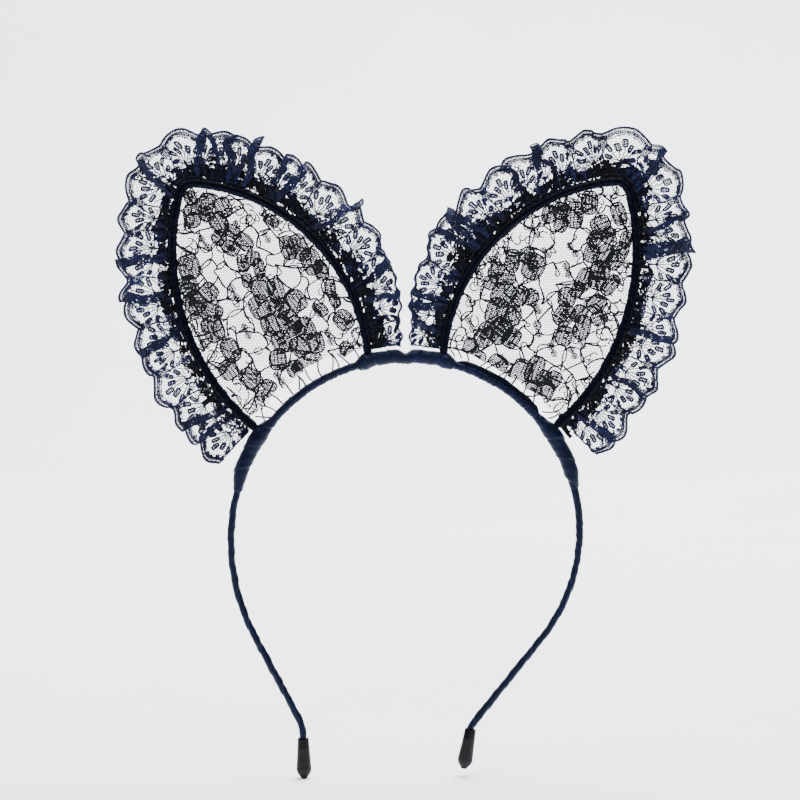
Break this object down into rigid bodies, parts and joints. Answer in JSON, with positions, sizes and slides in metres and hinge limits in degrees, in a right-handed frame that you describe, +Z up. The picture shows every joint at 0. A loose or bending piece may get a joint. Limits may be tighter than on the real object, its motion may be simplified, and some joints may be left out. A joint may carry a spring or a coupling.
{
  "type": "animal ears headband",
  "caption": "Ribbon-wrapped spring wire headband with two posable wire ears of lace edged with a gathered lace ruffle, and rubber end caps.",
  "frame": {"origin": "inner side of the band at its highest point, where the head touches it", "axes": "+Z up through the crown, +X towards the band's right end seen from the front, -Y is the front face that the ears show"},
  "size_m": [0.1944, 0.0052, 0.2222],
  "materials": {
    "spring_steel": "satin",
    "ear_wire_steel": "satin",
    "navy_satin": "satin",
    "navy_lace": "matte",
    "sewing_thread": "satin",
    "black_rubber": "satin"
  },
  "bodies": {
    "crown": {"crown_wire": "spring_steel", "crown_ribbon": "navy_satin", "ear_tail_inner_left": "ear_wire_steel", "ear_tail_inner_right": "ear_wire_steel", "ear_tail_outer_left": "ear_wire_steel", "ear_tail_outer_right": "ear_wire_steel", "foot_binding_inner_left": "navy_satin", "foot_binding_inner_right": "navy_satin", "foot_binding_outer_left": "navy_satin", "foot_binding_outer_right": "navy_satin"},
    "arm_left": {"arm_wire_left": "spring_steel", "arm_ribbon_left": "navy_satin", "end_cap_left": "black_rubber"},
    "arm_right": {"arm_wire_right": "spring_steel", "arm_ribbon_right": "navy_satin", "end_cap_right": "black_rubber"},
    "ear_left": {"ear_wire_left": "ear_wire_steel", "ear_ribbon_left": "navy_satin", "lace_panel_left": "navy_lace", "ruffle_heading_left": "navy_lace", "gathering_thread_left": "sewing_thread", "ruffle_left": "navy_lace"},
    "ear_right": {"ear_wire_right": "ear_wire_steel", "ear_ribbon_right": "navy_satin", "lace_panel_right": "navy_lace", "ruffle_heading_right": "navy_lace", "gathering_thread_right": "sewing_thread", "ruffle_right": "navy_lace"}
  },
  "joints": [
    {"name": "arm_flex_left", "type": "hinge", "parent": "crown", "child": "arm_left", "pos_m": [-0.0564, 0, -0.03948], "axis": [0, 1, 0], "range_deg": [-5, 25], "stiffness_Nm_per_rad": 0.93},
    {"name": "arm_flex_right", "type": "hinge", "parent": "crown", "child": "arm_right", "pos_m": [0.0564, 0, -0.03948], "axis": [0, -1, 0], "range_deg": [-5, 25], "stiffness_Nm_per_rad": 0.93},
    {"name": "ear_tilt_left", "type": "hinge", "parent": "crown", "child": "ear_left", "pos_m": [-0.01277, 0, 0.0023], "axis": [0.8339, 0, 0.5519], "range_deg": [-20, 20]},
    {"name": "ear_tilt_right", "type": "hinge", "parent": "crown", "child": "ear_right", "pos_m": [0.01277, 0, 0.0023], "axis": [0.8339, 0, -0.5519], "range_deg": [-20, 20]}
  ]
}
